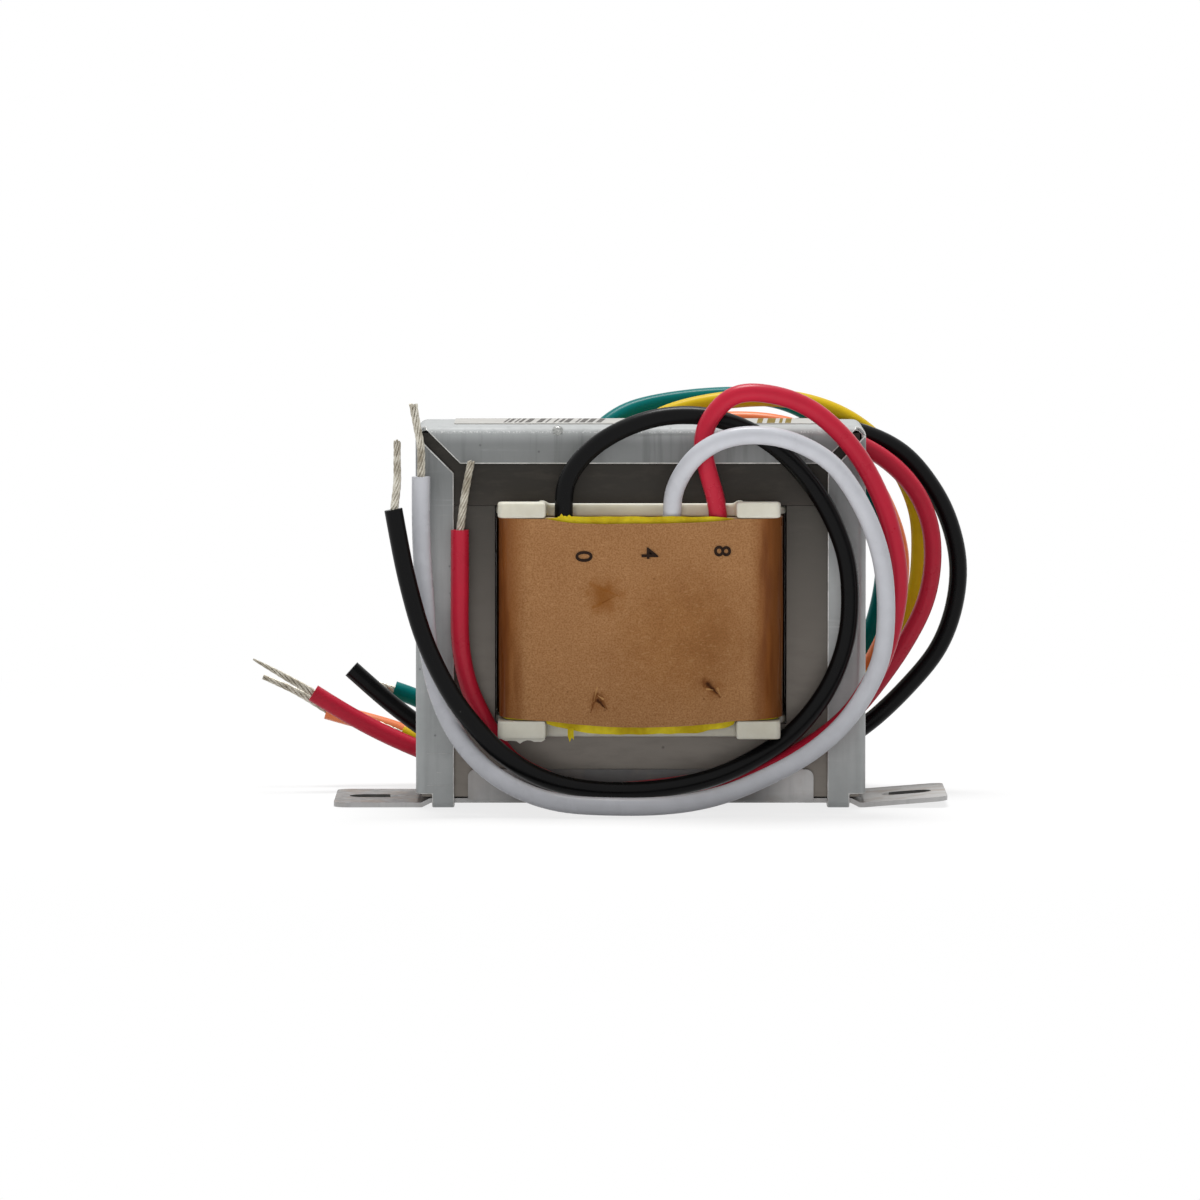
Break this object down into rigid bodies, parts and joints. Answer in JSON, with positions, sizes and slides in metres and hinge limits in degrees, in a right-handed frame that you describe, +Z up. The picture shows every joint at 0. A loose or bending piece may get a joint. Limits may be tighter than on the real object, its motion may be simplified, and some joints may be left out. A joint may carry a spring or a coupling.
{
  "type": "line transformer",
  "caption": "Line transformer: a laminated core and wound bobbin in a folded channel bracket with slotted feet, with insulated flying leads at front and rear.",
  "frame": {"origin": "centre of the feet's underside, below the middle of the core", "axes": "+X along the feet, +Y from the secondary side towards the primary side, +Z up"},
  "size_m": [0.0955, 0.0524, 0.0557],
  "materials": {
    "galvanised_sheet": "satin galvanised",
    "tinned_sheet": "satin tinned",
    "core_steel": "varnished, dark satin",
    "white_nylon": "moulded satin",
    "enamelled_copper": "enamelled",
    "yellow_tape": "polyester film",
    "crepe_paper": "matt",
    "kraft_paper": "matt, varnish stained",
    "label_paper": "matt",
    "black_pvc": "satin",
    "white_pvc": "satin",
    "red_pvc": "satin",
    "green_pvc": "satin",
    "yellow_pvc": "satin",
    "orange_pvc": "satin",
    "tinned_wire": "tinned strands"
  },
  "bodies": {
    "root": {"channel_bracket": "galvanised_sheet", "base_plate": "tinned_sheet", "e_laminations": "core_steel", "i_laminations": "core_steel", "bobbin": "white_nylon", "primary_winding": "enamelled_copper", "interwinding_tape": "yellow_tape", "secondary_winding": "enamelled_copper", "lead_padding": "crepe_paper", "outer_tape": "yellow_tape", "paper_wrap": "kraft_paper", "label": "label_paper", "black_secondary_lead": "black_pvc", "white_secondary_lead": "white_pvc", "red_secondary_lead": "red_pvc", "green_primary_lead": "green_pvc", "yellow_primary_lead": "yellow_pvc", "orange_primary_lead": "orange_pvc", "red_primary_lead": "red_pvc", "black_primary_lead": "black_pvc", "black_secondary_tip": "tinned_wire", "white_secondary_tip": "tinned_wire", "red_secondary_tip": "tinned_wire", "green_primary_tip": "tinned_wire", "yellow_primary_tip": "tinned_wire", "orange_primary_tip": "tinned_wire", "red_primary_tip": "tinned_wire"}
  },
  "joints": []
}
